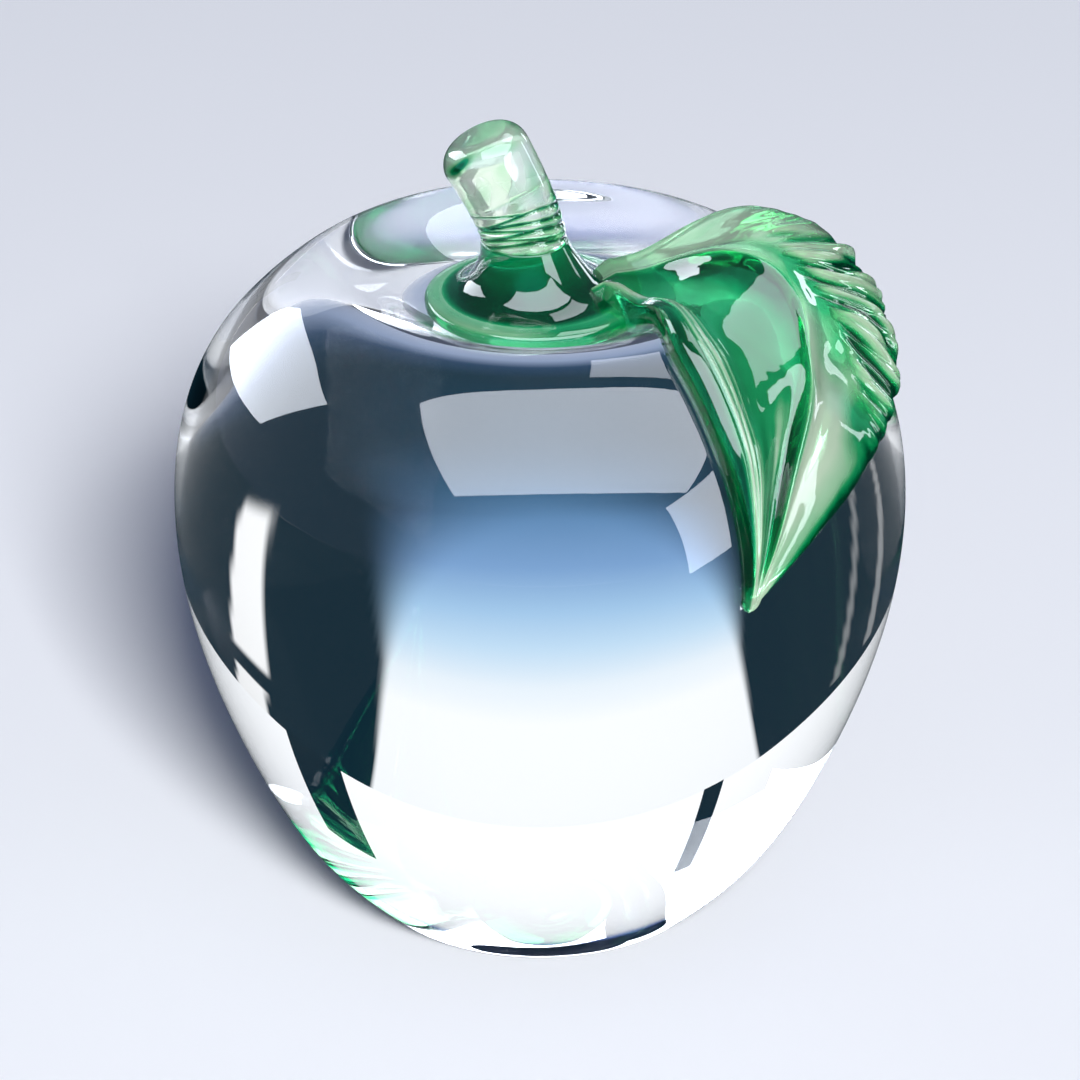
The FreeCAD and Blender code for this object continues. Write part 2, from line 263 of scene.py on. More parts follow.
# Azimuth and elevation in degrees, and distance
KEY_LAMP_PLACE = (10, 34, 3.0)
KEY_LAMP_SIZE = (0.70, 0.60)
CAMERA_PLACE = (0, 27, 0.70)
CAMERA_TARGET = (0, 0, 46.6 * MM)
CAMERA_SENSOR = 36.0
CAMERA_LENS = 190.7
CAMERA_CLIP = (0.01, 20)
LIGHT_BOUNCES = 24
GLOSSY_BOUNCES = 12

STEM_COLUMNS = 96
FOOT_COLUMNS = 160
SEAT_DEPTH = 0.25 * MM
FUSED_GAP = 0.02 * MM
MERGE_DISTANCE = 0.002 * MM


def between(start, end, share):
    """Value that lies the given share of the way from start to end."""
    return start + (end - start) * share


class SmoothCurve:
    """Smooth cubic curve through points, one for each knot, with its end slopes given or taken from them."""

    def __init__(self, knots, points, ends=None):
        self.knots = np.array(knots, float)
        self.points = np.array(points, float)
        gaps = np.diff(self.knots)
        rises = np.diff(self.points, axis=0) / gaps[:, None]
        if ends is None:
            ends = (np.polyfit(self.knots[:4] - self.knots[0], self.points[:4], 3)[-2],
                    np.polyfit(self.knots[-4:] - self.knots[-1], self.points[-4:], 3)[-2])
        matrix = np.eye(len(knots))
        right = np.zeros_like(self.points)
        right[0], right[-1] = ends
        for index in range(1, len(knots) - 1):
            before, after = gaps[index - 1], gaps[index]
            matrix[index, index - 1:index + 2] = after, 2 * (before + after), before
            right[index] = 3 * (after * rises[index - 1] + before * rises[index])
        self.slopes = np.linalg.solve(matrix, right)

    def at(self, places):
        """Points of the curve at knot values, and the slopes there."""
        places = np.asarray(places, float)
        index = np.clip(np.searchsorted(self.knots, places, side="right") - 1, 0, len(self.knots) - 2)
        gap = (self.knots[index + 1] - self.knots[index])[..., None]
        t = (places - self.knots[index])[..., None] / gap
        first, second = self.points[index], self.points[index + 1]
        first_slope, second_slope = self.slopes[index] * gap, self.slopes[index + 1] * gap
        point = (first * (1 + 2 * t) * (1 - t) ** 2 + first_slope * t * (1 - t) ** 2
                 + second * t ** 2 * (3 - 2 * t) - second_slope * t ** 2 * (1 - t))
        slope = (6 * t * (t - 1) * (first - second) + first_slope * (1 - t) * (1 - 3 * t)
                 + second_slope * t * (3 * t - 2)) / gap
        return point, slope


def body_outline():
    """Half outline of the body as radius and height, from the dish centre to the edge of the base."""
    points = [(0, DISH_FLOOR)]
    for out, down in reversed(CREST_TO_DISH):
        points.append((CREST_RADIUS * out, CREST_HEIGHT - DISH_DEPTH * down))
    points.append((CREST_RADIUS, CREST_HEIGHT))
    for out, up in reversed(BELLY_TO_CREST):
        points.append((between(CREST_RADIUS, BODY_RADIUS, out), between(BELLY_HEIGHT, CREST_HEIGHT, up)))
    points.append((BODY_RADIUS, BELLY_HEIGHT))
    for out, up in reversed(BASE_TO_BELLY):
        points.append((between(BASE_RADIUS, BODY_RADIUS, out), BELLY_HEIGHT * up))
    points.append((BASE_RADIUS, 0))
    lengths = [math.dist(point, after) for point, after in zip(points, points[1:])]
    turn = math.radians(BASE_EDGE_ANGLE)
    return SmoothCurve(np.concatenate([[0], np.cumsum(lengths)]), points,
                       ends=((1, 0), (-math.cos(turn), -math.sin(turn))))


outline = body_outline()


def over_body(angle, share, height):
    """Places over the body, by angle round it in degrees, share along the outline and height off the glass."""
    point, slope = outline.at(outline.knots[-1] * np.asarray(share, float))
    along = slope / np.linalg.norm(slope, axis=-1, keepdims=True)
    radius = point[..., 0] - along[..., 1] * height
    turn = np.radians(angle)
    level = point[..., 1] + along[..., 0] * height
    return np.stack([radius * np.sin(turn), -radius * np.cos(turn), level], axis=-1)


def skin(places, seated, green_and_painted_light):
    """Closed mesh through a grid of places, rows along the piece and columns round it.

    For each row and column, seated marks skin that is fused to another piece, and the last table how deep its green
    is, with painted highlights and painted shade in it.
    """
    rows, columns = places.shape[:2]
    places, seated, green_and_painted_light = (
        np.concatenate([table, table[:, :1]], axis=1) for table in (places, seated, green_and_painted_light))
    bm = bmesh.new()
    # The depth layer holds how deep the green is, and painted highlights and painted shade too
    seat = bm.verts.layers.float.new("seat")
    depth = bm.verts.layers.float.new("depth")
    bmesh.ops.create_grid(bm, x_segments=rows - 1, y_segments=columns, size=1)
    for vertex in bm.verts:
        row = round((vertex.co.x + 1) / 2 * (rows - 1))
        column = round((vertex.co.y + 1) / 2 * columns)
        vertex.co = places[row, column]
        vertex[seat] = seated[row, column]
        vertex[depth] = green_and_painted_light[row, column]
    bmesh.ops.remove_doubles(bm, verts=bm.verts, dist=MERGE_DISTANCE)
    bmesh.ops.recalc_face_normals(bm, faces=bm.faces)
    for face in bm.faces:
        face.material_index = 1 if all(vertex[seat] > 0.5 for vertex in face.verts) else 0
    return bm


def new_object(bm, name):
    """Object in the scene that holds the mesh."""
    mesh = bpy.data.meshes.new(name)
    bm.to_mesh(mesh)
    bm.free()
    thing = bpy.data.objects.new(name, mesh)
    bpy.context.scene.collection.objects.link(thing)
    return thing


def finish_piece(bm, name, node, materials):
    """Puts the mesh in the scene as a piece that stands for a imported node."""
    for face in bm.faces:
        face.smooth = True
    piece = new_object(bm, name)
    for material in materials:
        piece.data.materials.append(material)
    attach(piece, "root")
    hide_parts(node)
    return piece


# Materials

def linear(hex_colour):
    """Linear RGBA of an sRGB hex colour."""
    parts = [int(hex_colour[at:at + 2], 16) / 255 for at in (1, 3, 5)]
    return (*(part / 12.92 if part <= 0.04045 else ((part + 0.055) / 1.055) ** 2.4 for part in parts), 1.0)


def add_node(tree, kind, settings=None, **inputs):
    """Adds a node, sets its properties, and fills or links its inputs by name, _ for a space, or place, as i0."""
    node = tree.nodes.new(kind)
    for key, value in (settings or {}).items():
        setattr(node, key, value)
    for key, value in inputs.items():
        by_place = key[0] == "i" and key[1:].isdigit()
        socket = node.inputs[int(key[1:]) if by_place else key.replace("_", " ")]
        if isinstance(value, bpy.types.NodeSocket):
            tree.links.new(value, socket)
        else:
            socket.default_value = value
    return node


def new_material(name):
    """Empty node material with its output node."""
    material = bpy.data.materials.new(name)
    material.use_nodes = True
    material.node_tree.nodes.clear()
    output = material.node_tree.nodes.new("ShaderNodeOutputMaterial")
    return material, material.node_tree, output


def fused_contact(name, colour):
    """Inside face where two pieces of hot glass were pressed into one: it neither bends nor mirrors light."""
    material, tree, output = new_material(name)
    glass = add_node(tree, "ShaderNodeBsdfPrincipled", Base_Color=linear(colour), Roughness=0.0, IOR=1.0005,
                     Transmission_Weight=1.0)
    tree.links.new(glass.outputs[0], output.inputs["Surface"])
    return material


def rippled_glass(tree, output, colour, ior, roughness, clearness, ripple):
    """Glass whose skin has the ripple's size, depth and detail."""
    size, depth, detail = ripple
    place = add_node(tree, "ShaderNodeTexCoord").outputs["Object"]
    waves = add_node(tree, "ShaderNodeTexNoise", Vector=place, Scale=1 / size, Detail=detail)
    bump = add_node(tree, "ShaderNodeBump", Height=waves.outputs[0], Distance=depth, Strength=1.0)
    glass = add_node(tree, "ShaderNodeBsdfPrincipled", Base_Color=colour, Roughness=roughness, IOR=ior,
                     Transmission_Weight=clearness, Normal=bump.outputs[0])
    tree.links.new(glass.outputs[0], output.inputs["Surface"])


def polished_crystal(settings):
    """Lead-free crystal, gathered hot, ground flat underneath and polished: clear, sharp, with faint waves."""
    material, tree, output = new_material("polished_crystal")
    rippled_glass(tree, output, linear(settings.tint), settings.ior, settings.roughness, 1.0,
                  (settings.wave_length, settings.wave_depth, 1.0))
    return material


def ground_crystal(settings):
    """The flat base, ground on a wheel and left fine: it scatters light and has the grit's faint scratches."""
    material, tree, output = new_material("ground_crystal")
    rippled_glass(tree, output, linear(settings.tint), settings.ior, settings.base_roughness, 1.0,
                  (settings.grit_size, settings.grit_depth, 3.0))
    return material


def green_glass(name, settings, colours, clearness):
    """Soda glass coloured through with green, drawn and pinched hot, left with its fire polish.

    Its fine seeds and cords scatter some light back, so that it glows over dark glass. colours are sRGB hex
    values from thin, pale glass to the deepest, read by the depth on the mesh, which also holds painted highlights
    and painted shade. clearness is the share of light that is let through.
    """
    material, tree, output = new_material(name)
    place = add_node(tree, "ShaderNodeTexCoord").outputs["Object"]
    # The depth read here carries painted highlights and painted shade as well as how deep the green is
    depth = add_node(tree, "ShaderNodeAttribute", {"attribute_name": "depth"}).outputs["Fac"]
    cloud = add_node(tree, "ShaderNodeTexNoise", Vector=place, Scale=1 / settings.cloud_size, Detail=2.0)
    uneven = add_node(tree, "ShaderNodeMath", {"operation": "MULTIPLY_ADD"}, i0=cloud.outputs[0],
                      i1=settings.cloud_share, i2=depth)
    centred = add_node(tree, "ShaderNodeMath", {"operation": "SUBTRACT"}, i0=uneven.outputs[0],
                       i1=settings.cloud_share / 2)
    ramp = add_node(tree, "ShaderNodeValToRGB", Fac=centred.outputs[0])
    while len(ramp.color_ramp.elements) < len(colours):
        ramp.color_ramp.elements.new(0.5)
    for index, (element, colour) in enumerate(zip(ramp.color_ramp.elements, colours)):
        element.position = index / (len(colours) - 1)
        element.color = linear(colour)
    rippled_glass(tree, output, ramp.outputs[0], settings.ior, settings.roughness, clearness,
                  (settings.wave_length, settings.wave_depth, 2.0))
    return material


# Settings that a user would change

def length(name, description, default):
    """Setting that holds a length."""
    return FloatProperty(name=name, description=description, default=default, unit="LENGTH", precision=6)


def colour(name, thing, default):
    """Setting that holds the colour of a thing."""
    return StringProperty(name=name, description="sRGB hex colour of " + thing, default=default)


class CrystalSettings(bpy.types.PropertyGroup):
    """Crystal body"""
    turns: IntProperty(name="Segments round", description="Faces round the body", default=320, min=32)
    rings: IntProperty(name="Rings", description="Faces from the dish centre to the base", default=270, min=32)
    ior: FloatProperty(name="IOR", description="How strongly the crystal bends light", default=1.52)
    roughness: FloatProperty(name="Roughness", description="Blur left by the polishing", default=0.0)
    tint: colour("Tint", "the crystal's skin", "#fbfdff")
    base_roughness: FloatProperty(name="Base roughness", description="Blur of the ground base", default=0.25)
    grit_size: length("Grit size", "Size of the scratches under the base", 0.4 * MM)
    grit_depth: length("Grit depth", "Depth of the scratches under the base", 0.01 * MM)
    wave_length: length("Wave length", "Size of the faint waves", 18 * MM)
    wave_depth: length("Wave depth", "Depth of the faint waves", 0.01 * MM)


# The depth layer picks these colours and holds painted highlights and painted shade, so the pale colours also paint
# highlights and the dark ones also paint shade
class GreenSettings(bpy.types.PropertyGroup):
    """Green glass of the foot, stem and leaf"""
    ior: FloatProperty(name="IOR", description="How strongly the green glass bends light", default=1.52)
    roughness: FloatProperty(name="Roughness", description="Blur of the fire polish", default=0.0)
    clearest: colour("Clearest", "the stem's clear glass", "#f3fdf0")
    palest: colour("Palest", "the thinnest glass", "#e0f9d8")
    pale: colour("Pale", "thin glass", "#a2e6b0")
    middle: colour("Middle", "thicker glass", "#22b56c")
    deep: colour("Deep", "deep glass", "#018a4b")
    darkest: colour("Darkest", "the deepest glass", "#014427")
    contact: colour("Contact", "the light passed by the fused faces", "#8ae8a4")
    cloud_size: length("Cloud size", "Size of the uneven colour", 6 * MM)
    cloud_share: FloatProperty(name="Cloud share", description="How uneven the colour is", default=0.25)
    wave_length: length("Wave length", "Size of the waves in the skin", 4 * MM)
    wave_depth: length("Wave depth", "Depth of the waves in the skin", 0.05 * MM)


class LeafSettings(bpy.types.PropertyGroup):
    """Leaf"""
    rows: IntProperty(name="Rows", description="Faces from stalk to tip", default=320, min=40)
    columns: IntProperty(name="Columns", description="Faces across the upper side", default=160, min=30)
    rib_relief: length("Rib relief", "Height of the ribs", 0.34 * MM)
    groove_relief: length("Groove relief", "Depth of the grooves along the ridge", 0.14 * MM)
    groove_count: IntProperty(name="Grooves", description="Grooves along the left ridge", default=4)


class StageSettings(bpy.types.PropertyGroup):
    """Floor, lamps and camera"""
    floor_colour: colour("Floor", "the floor", "#eceef2")
    fill_colour: colour("Fill", "the light in the shadows", "#586078")
    key_power: FloatProperty(name="Key power", description="Power of the key lamp", default=140.0, unit="POWER")
    softbox_colour: colour("Softbox colour", "the softboxes", "#eef4ff")
    softbox_strength: FloatProperty(name="Softbox", description="Brightness of the softboxes", default=9.5)
    sky_strength: FloatProperty(name="Sky", description="Brightness of the sky behind the glass", default=1.25)
    backlight_strength: FloatProperty(name="Backlight", description="Strength of the graduated light", default=1.14)
    under_strength: FloatProperty(name="Under", description="Strength of the light under the base", default=1.0)


def settings_of(context):
    """All the settings of the glass apple in this scene."""
    return context.scene.glass_apple


class AppleSettings(bpy.types.PropertyGroup):
    """All settings"""
    crystal: PointerProperty(type=CrystalSettings)
    green: PointerProperty(type=GreenSettings)
    leaf: PointerProperty(type=LeafSettings)
    stage: PointerProperty(type=StageSettings)


# Shapes

def monotone(table):
    """Curve through a table's rows that never swings past them: the first column against the others."""
    table = np.array(table, float)
    knots, values = table[:, 0], table[:, 1:]
    rises = np.diff(values, axis=0) / np.diff(knots)[:, None]
    product = rises[:-1] * rises[1:]
    inner = np.where(product > 0, 2 * product / np.where(product > 0, rises[:-1] + rises[1:], 1), 0)
    curve = SmoothCurve(knots, values)
    curve.slopes = np.concatenate([rises[:1], inner, rises[-1:]])
    return curve


def eased(value):
    """Smooth step from 0 to 1."""
    value = np.clip(value, 0, 1)
    return value * value * (3 - 2 * value)


def ripple(waves, across, along):
    """Sum of waves over shares across and along a piece."""
    return sum(height * np.sin(over * across + up * along) for height, over, up in waves)


def leaf_relief(settings, station, across):
    """Rib and groove shares, from -1 to 1, over a grid of shares along and across the leaf."""
    swept = station - LEAF_RIB_SWEEP * (2 * across - 1)
    number = np.interp(swept, LEAF_RIB_STATIONS, range(len(LEAF_RIB_STATIONS)))
    wander = ripple(LEAF_RIB_WANDER, across, station)
    crest = ((1 + np.cos(WHOLE_TURN * (number + wander))) / 2) ** LEAF_RIB_SHARPNESS
    root = np.interp(station, *np.transpose(LEAF_RIB_ROOT))
    strength = np.interp(station, *np.transpose(LEAF_RIB_STRENGTH))
    uneven = 1 + LEAF_RIB_UNEVENNESS * np.sin(47.0 * station + 2.0) * np.sin(9.0 * across + 11.0 * station)
    fine = np.cos(WHOLE_TURN * (3.2 * number + 2.3 * across) + 2.0 * np.sin(31.0 * station))
    risen = eased((across - root) / LEAF_RIB_RISE)
    rib = (2 * crest - 1 + LEAF_FINE_RIB_SHARE * fine) * strength * uneven * risen
    first, last = LEAF_RIDGE_GROOVES
    share = (across - first) / (last - first)
    inside = eased(share * 5) * eased((1 - share) * 4)
    turns = settings.groove_count * share + ripple(LEAF_GROOVE_WANDER, across, station)
    faded = eased(station / LEAF_GROOVE_FADE) * eased((1 - station) / LEAF_GROOVE_FADE)
    groove = np.cos(WHOLE_TURN * turns) * inside * faded
    return rib, groove


def leaf_grid(settings):
    """Tables of the leaf's skin, rows from stalk to tip and columns round it."""
    left, middle, right = (SmoothCurve(np.linspace(0, 1, len(guide)), guide)
                           for guide in (LEAF_LEFT_GUIDE, LEAF_MIDRIB_GUIDE, LEAF_RIGHT_GUIDE))
    upper_section, lower_section = monotone(LEAF_UPPER_SECTION), monotone(LEAF_SECTION)
    station = np.linspace(0, 1, settings.rows)[:, None]
    wave = np.linspace(0, math.pi, settings.columns)
    upper_across = ((1 - np.cos(wave)) / 2)[None, :]
    lower_across = upper_across[:, ::-3]
    rib, groove = leaf_relief(settings, station, upper_across)
    taper = 1 - station ** LEAF_TIP_TAPER_POWER
    gather = np.clip(1 - station / LEAF_RIBBED_FROM, 0, 1) ** 2
    heights = np.array([[LEAF_RIDGE_HEIGHT, LEAF_VALLEY_HEIGHT, LEAF_MIDRIB_HEIGHT, LEAF_MARGIN_HEIGHT]])
    heights = between(LEAF_TIP_HEIGHT, heights, taper)
    heights = between(heights, LEAF_STALK_HEIGHT, gather)
    left_place, middle_place, right_place = (
        guide.at(station[:, 0])[0][:, None] for guide in (left, middle, right))
    half_width = np.linalg.norm(over_body(right_place[..., 0], right_place[..., 1], 0)
                                - over_body(middle_place[..., 0], middle_place[..., 1], 0), axis=-1)
    tooth = LEAF_TOOTH_REACH / 2 / np.maximum(half_width, 1 * MM)

    def placed(across, reach, height):
        """Places at shares across the leaf, drawn out by reach at the ribs, at heights off the body."""
        shifted = (across + tooth * reach * eased((across - 0.6) / 0.4) / 2)[..., None]
        first = left_place + (middle_place - left_place) * (2 * shifted)
        second = middle_place + (right_place - middle_place) * (2 * shifted - 1)
        place = np.where(shifted < 0.5, first, second)
        return over_body(place[..., 0], place[..., 1], height)

    first, last = LEAF_SECTION_CHANGE
    upper_height, lower_height = (heights @ section.at(upper_across[0])[0].T
                                  for section in (upper_section, lower_section))
    height = between(upper_height, lower_height, eased((station - first) / (last - first)))
    edges = eased((1 - upper_across) / 0.06) * eased(upper_across / 0.03)
    height = height + ovals(LEAF_SWELLINGS, station, upper_across) * edges
    height = (height + rib * settings.rib_relief * np.clip(height / LEAF_MARGIN_HEIGHT, 0, 1)
              + groove * settings.groove_relief)
    upper = placed(upper_across, rib, height)
    margin_reach = np.broadcast_to(rib[:, -1:], (len(station), lower_across.shape[1]))
    lower = placed(lower_across, margin_reach, np.full(margin_reach.shape, -SEAT_DEPTH))
    # Besides how deep the green is, the depth holds painted light: highlights on the rib crests and the grooves'
    # raised lines, shade in the hollows and the grooves' dips, and the tone spots' pale patches
    depth = (monotone(LEAF_TONES).at(upper_across[0])[0][:, 0] - LEAF_GROOVE_PAINTED_LIGHT * groove
             - np.where(rib > 0, LEAF_RIB_PAINTED_HIGHLIGHT, LEAF_HOLLOW_PAINTED_SHADE) * rib
             + ovals(LEAF_TONE_SPOTS, station, upper_across))
    streak = np.sin(WHOLE_TURN * (9.0 * upper_across + 0.8 * station))
    streak = streak * np.sin(31.0 * upper_across + 4.0 * station)
    streak = streak * eased((station - 0.5) / 0.2) * eased((0.48 - upper_across) / 0.1)
    depth = depth + LEAF_STREAK_DEPTH * streak
    grid = np.concatenate([upper, lower], axis=1)
    seated = np.concatenate([np.zeros(upper.shape[:2]), np.ones(lower.shape[:2])], axis=1)
    green_and_painted_light = np.concatenate([depth, np.full(lower.shape[:2], 0.5)], axis=1)
    ends = over_body(*LEAF_STALK_END, LEAF_STALK_HEIGHT / 2), over_body(*LEAF_TIP, LEAF_TIP_HEIGHT / 2)
    return closed_ends(grid, ends), with_ends(seated), with_ends(green_and_painted_light)


def ovals(rows, along, across):
    """Sum of soft ovals: each row has its place along and across, its half lengths and its height."""
    return sum(height * eased(1 - np.hypot((along - place) / half_along, (across - over) / half_over))
               for place, over, half_along, half_over, height in rows)


def with_ends(table):
    """Table whose first and last rows are repeated for the rounded ends."""
    steps = LEAF_END_STEPS
    return np.concatenate([np.repeat(table[:1], steps, 0), table, np.repeat(table[-1:], steps, 0)])


def closed_ends(grid, ends):
    """Grid with rounded ends that close on two points."""
    turns = np.linspace(0, math.pi / 2, LEAF_END_STEPS + 1)[1:, None, None]
    caps = []
    for ring, end in zip((grid[0], grid[-1]), ends):
        middle = ring.mean(axis=0)
        caps.append(middle + (end - middle) * np.sin(turns) + (ring - middle)[None] * np.cos(turns))
    return np.concatenate([caps[0][::-1], grid, caps[1]])


class APPLE_OT_leaf(bpy.types.Operator):
    """Make the ribbed green leaf"""
    bl_idname = "glass_apple.leaf"
    bl_label = "Leaf"

    def execute(self, context):
        settings = settings_of(context)
        bm = skin(*leaf_grid(settings.leaf))
        green = settings.green
        glass = green_glass("leaf_green_glass", green,
                            (green.palest, green.pale, green.middle, green.deep, green.darkest), LEAF_CLEARNESS)
        contact = fused_contact("leaf_contact", green.contact)
        finish_piece(bm, "leaf_glass", "leaf", [glass, contact])
        return {"FINISHED"}


def ring_tables(rings):
    """Places, seats and green tones with painted light and shade for skin, from rings that each hold their places,
    whether seated, and those tones.
    """
    places, seated, green_and_painted_light = zip(*rings)
    places = np.array(places)
    return places, np.tile(np.array(seated, float)[:, None], (1, places.shape[1])), np.array(green_and_painted_light)


def stem_grid():
    """Tables of the stem's skin, rows from the foot to the slanted end."""
    flat_radius = STEM_TOP_RADIUS - STEM_END_ROUNDING
    rise = STEM_HEIGHT - STEM_END_ROUNDING - flat_radius * math.sin(math.radians(STEM_END_TILT))
    around = np.arange(STEM_COLUMNS) / STEM_COLUMNS * WHOLE_TURN
    bottom = DISH_FLOOR + FOOT_HEIGHT + FUSED_GAP
    rings = []

    def add_ring(centre, radius, axis, green_and_painted_light):
        across = np.array([axis[2], 0, -axis[0]])
        radius = np.broadcast_to(radius, around.shape)[:, None]
        place = (np.asarray(centre) + radius * np.cos(around)[:, None] * across
                 + radius * np.sin(around)[:, None] * np.array([0, 1, 0]))
        rings.append((place, 0, green_and_painted_light))

    for share in np.linspace(0, 1, 70):
        waist = between(FOOT_NECK_RADIUS, STEM_WAIST_RADIUS, math.sin(math.pi * share))
        radius = between(waist, STEM_TOP_RADIUS, share ** 2)
        tilt = math.radians(STEM_END_TILT * share)
        lean = FOOT_NECK_OFFSET + STEM_LEAN * share ** STEM_BEND_POWER
        centre = (-lean, 0, bottom + (rise - FUSED_GAP) * share)
        axis = np.array([-math.sin(tilt), 0, math.cos(tilt)])
        wrinkle = stem_wrinkles(share, around)
        cord = np.sin(3 * around + 5.0 * share) * np.sin(7 * around - 9.0 * share)
        edge = eased(np.cos(around - math.radians(20)) * 4 - 2.6) * eased((0.75 - share) / 0.4)
        # Painted shade: the wrinkles, the lower right side and the stem's foot, where it joins the foot piece, are
        # darker; the cords vary the green
        add_ring(centre, radius - STEM_WRINKLE_DEPTH * wrinkle, axis,
                 0.05 + 0.95 * wrinkle + 0.6 * edge + 0.16 * cord + 0.6 * eased(1 - share / 0.05))
    for turn in np.radians(np.linspace(6, 90, 15)):
        # Painted shade in the wrinkles round the rounded end, darker towards the left front
        painted_end_shade = eased(1 - np.abs(turn - 0.65 - 0.25 * np.sin(3 * around)) / 0.40)
        side = 0.35 + 0.55 * eased(-np.cos(around - 0.5) * 2)
        add_ring(np.asarray(centre) + axis * STEM_END_ROUNDING * math.sin(turn),
                 radius - STEM_END_ROUNDING * (1 - math.cos(turn)), axis,
                 0.06 + painted_end_shade * side * (0.7 + 0.5 * np.sin(5 * around)))
    rim, start = rings[-1][0], rings[0][0]
    top, middle = rim.mean(axis=0), start.mean(axis=0)
    for share in (0.6, 0.3, 0.0):
        rings.append((top + (rim - top) * share, 0, np.full(len(around), 0.08)))
    under = [(middle + (start - middle) * share, 1, rings[0][2]) for share in (0.0, 0.4, 0.8, 1.0)]
    return ring_tables(under + rings)


def stem_wrinkles(share, around):
    """How deep the slanting wrinkles of the drawn stem are, from 0 to 1, at a share of its height, round it."""
    slant = share - 0.055 * np.cos(around + 0.6)
    wrinkle = np.zeros(len(around))
    for place, width, turn in STEM_WRINKLES:
        line = slant + 0.05 * np.sin(2 * around + turn)
        fold = eased(1 - np.abs(line - place) / width)
        wrinkle = np.maximum(wrinkle, fold * eased(np.cos(around + turn) + 0.9))
    return wrinkle


class APPLE_OT_stem(bpy.types.Operator):
    """Make the leaning stem"""
    bl_idname = "glass_apple.stem"
    bl_label = "Stem"

    def execute(self, context):
        green = settings_of(context).green
        bm = skin(*stem_grid())
        glass = green_glass("stem_green_glass", green,
                            (green.clearest, green.pale, green.deep, green.darkest), STEM_CLEARNESS)
        contact = fused_contact("stem_contact", "#ffffff")
        finish_piece(bm, "stem_glass_piece", "stem", [glass, contact])
        return {"FINISHED"}


def dish_height(radius):
    """Height of the dished top at radii from the axis."""
    point = outline.at(np.linspace(0, outline.knots[-1] / 2, 400))[0]
    rising = point[:, 0] <= CREST_RADIUS
    return np.interp(radius, point[rising, 0], point[rising, 1])


def foot_grid():
    """Tables of the foot's skin, rows from the middle of its seat out to the flange and up to the neck."""
    around = np.arange(FOOT_COLUMNS) / FOOT_COLUMNS * WHOLE_TURN
    circle = np.stack([np.cos(around), np.sin(around)], axis=1)
    rings = []

    def add_ring(radius, offset, height, seated, green_and_painted_light):
        place = circle * radius + np.array([-offset, 0])
        if height is None:
            height = dish_height(np.linalg.norm(place, axis=1)) - SEAT_DEPTH
        rings.append((np.column_stack([place, np.broadcast_to(height, around.shape)]), seated,
                      np.broadcast_to(green_and_painted_light, around.shape)))

    for share in np.linspace(0, 1, 12):
        add_ring(FOOT_FLANGE_RADIUS * share, FOOT_OFFSET, None, 1, 0.45)
    shares = np.array(FOOT_OUTLINE)
    knots = np.concatenate([[0], np.cumsum(np.linalg.norm(np.diff(shares, axis=0), axis=1))])
    for out, up in SmoothCurve(knots, shares).at(np.linspace(0, knots[-1], 60))[0]:
        # Painted light: the flange is paler on the left
        painted_light_on_left = 0.3 * eased((out - 0.68) / 0.08) * eased(-np.cos(around - 0.35) * 1.4)
        add_ring(between(FOOT_NECK_RADIUS, FOOT_FLANGE_RADIUS, out),
                 between(FOOT_OFFSET, FOOT_NECK_OFFSET, up * abs(up)), DISH_FLOOR + FOOT_HEIGHT * up, 0,
                 np.interp(out, *np.transpose(FOOT_TONES)) - painted_light_on_left)
    for share in (1.0, 0.7, 0.3, 0.0):
        add_ring(FOOT_NECK_RADIUS * share, FOOT_NECK_OFFSET, DISH_FLOOR + FOOT_HEIGHT, 1, 0.7)
    return ring_tables(rings)


class APPLE_OT_foot(bpy.types.Operator):
    """Make the flared green foot of the stem"""
    bl_idname = "glass_apple.foot"
    bl_label = "Foot"

    def execute(self, context):
        green = settings_of(context).green
        bm = skin(*foot_grid())
        glass = green_glass("foot_green_glass", green,
                            (green.pale, green.middle, green.deep, green.darkest), FOOT_CLEARNESS)
        contact = fused_contact("foot_contact", green.contact)
        finish_piece(bm, "foot_glass_piece", "stem_foot", [glass, contact])
        return {"FINISHED"}


def covered_by(trees, place, normal):
    """True where a fused piece lies over that place on the body."""
    for tree in trees:
        hit, hit_normal, _, _ = tree.ray_cast(place, normal)
        if hit is not None and hit_normal.dot(normal) > 0:
            return True
    return False


def draw_contact(bm, pieces):
    """Gives the contact finish to the faces that the fused pieces cover, drawn to the pieces' edges first."""
    graph = bpy.context.evaluated_depsgraph_get()
    trees = [BVHTree.FromObject(piece, graph) for piece in pieces]
    bm.normal_update()
    top = min(vertex.co.z for piece in pieces for vertex in piece.data.vertices)
    covered = {vertex: vertex.co.z > top and covered_by(trees, vertex.co, vertex.normal) for vertex in bm.verts}
    moves = {}
    for edge in bm.edges:
        first, second = edge.verts
        if covered[first] == covered[second]:
            continue
        low, high = 0.0, 1.0
        for _ in range(9):
            middle = (low + high) / 2
            place = first.co.lerp(second.co, middle)
            if covered_by(trees, place, first.normal) == covered[first]:
                low = middle
            else:
                high = middle
        near, share = (first, low) if low < 0.5 else (second, 1 - low)
        if share < moves.get(near, (1,))[0]:
            moves[near] = (share, first.co.lerp(second.co, low))
    for vertex, (_, place) in moves.items():
        vertex.co = place
    for face in bm.faces:
        centre = face.calc_center_median()
        face.material_index = 1 if centre.z > top and covered_by(trees, centre, face.normal) else 0


